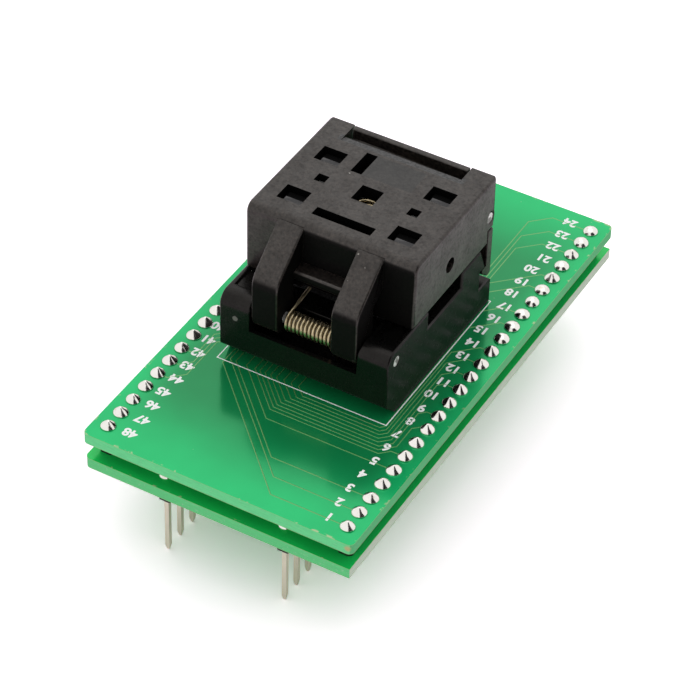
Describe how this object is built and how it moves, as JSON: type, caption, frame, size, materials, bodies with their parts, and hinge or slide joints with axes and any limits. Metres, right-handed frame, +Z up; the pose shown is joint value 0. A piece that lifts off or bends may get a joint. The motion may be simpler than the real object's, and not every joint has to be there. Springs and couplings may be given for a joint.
{
  "type": "ic test socket",
  "caption": "Clamshell test socket for a flat leadless chip, with hinged lid, latch and pressure pad, on a green two-board stack that plugs in through two rows of square pins.",
  "frame": {"origin": "middle of the plug, at the tips of the plug pins", "axes": "+X to the row of pins 1 to 24, +Y from the lid's hinge to its latch, +Z up"},
  "size_m": [0.0342, 0.0632, 0.0335],
  "materials": {
    "board": "green solder mask on pale glass-fibre board",
    "strip": "black moulded pin strip",
    "tinned_pin": "tinned, warm grey",
    "solder": "bright solder",
    "base_plastic": "black glass-filled plastic, slight sheen",
    "contact": "gold-plated copper alloy",
    "steel_pin": "bright steel",
    "spring_wire": "spring wire with a faint gold tint",
    "lid_plastic": "brown-black glass-filled plastic, mottled"
  },
  "bodies": {
    "stack": {"upper_board": "board", "lower_board": "board", "upper_strip_left": "strip", "upper_strip_right": "strip", "lower_strip_left": "strip", "lower_strip_right": "strip", "joining_pins_left": "tinned_pin", "joining_pins_right": "tinned_pin", "plug_pins_left": "tinned_pin", "plug_pins_right": "tinned_pin", "top_solder_left": "solder", "top_solder_right": "solder", "under_solder_left": "solder", "under_solder_right": "solder", "plug_solder_left": "solder", "plug_solder_right": "solder", "socket_base": "base_plastic", "chip_nest": "base_plastic", "contacts_front": "contact", "contacts_rear": "contact", "contacts_left": "contact", "contacts_right": "contact", "hinge_pin": "steel_pin", "hinge_spring": "spring_wire"},
    "lid": {"lid": "lid_plastic", "latch_pin": "steel_pin", "latch_spring": "spring_wire", "pressure_spring": "spring_wire"},
    "latch": {"latch": "lid_plastic"},
    "pad": {"pressure_pad": "lid_plastic"}
  },
  "joints": [
    {"name": "lid_hinge", "type": "hinge", "parent": "stack", "child": "lid", "pos_m": [0, -0.01103, 0.0229], "axis": [1, 0, 0], "range_deg": [0, 95], "deforming": ["hinge_spring"]},
    {"name": "latch_pivot", "type": "hinge", "parent": "lid", "child": "latch", "pos_m": [0, 0.01037, 0.02834], "axis": [1, 0, 0], "range_deg": [0, 10], "stiffness_Nm_per_rad": 0.005, "springref_deg": -17.19, "deforming": ["latch_spring"]},
    {"name": "pad_slide", "type": "slide", "parent": "lid", "child": "pad", "axis": [0, 0, 1], "range_m": [0, 0.00075], "stiffness_N_per_m": 1500, "springref_m": -0.002, "deforming": ["pressure_spring"]}
  ]
}
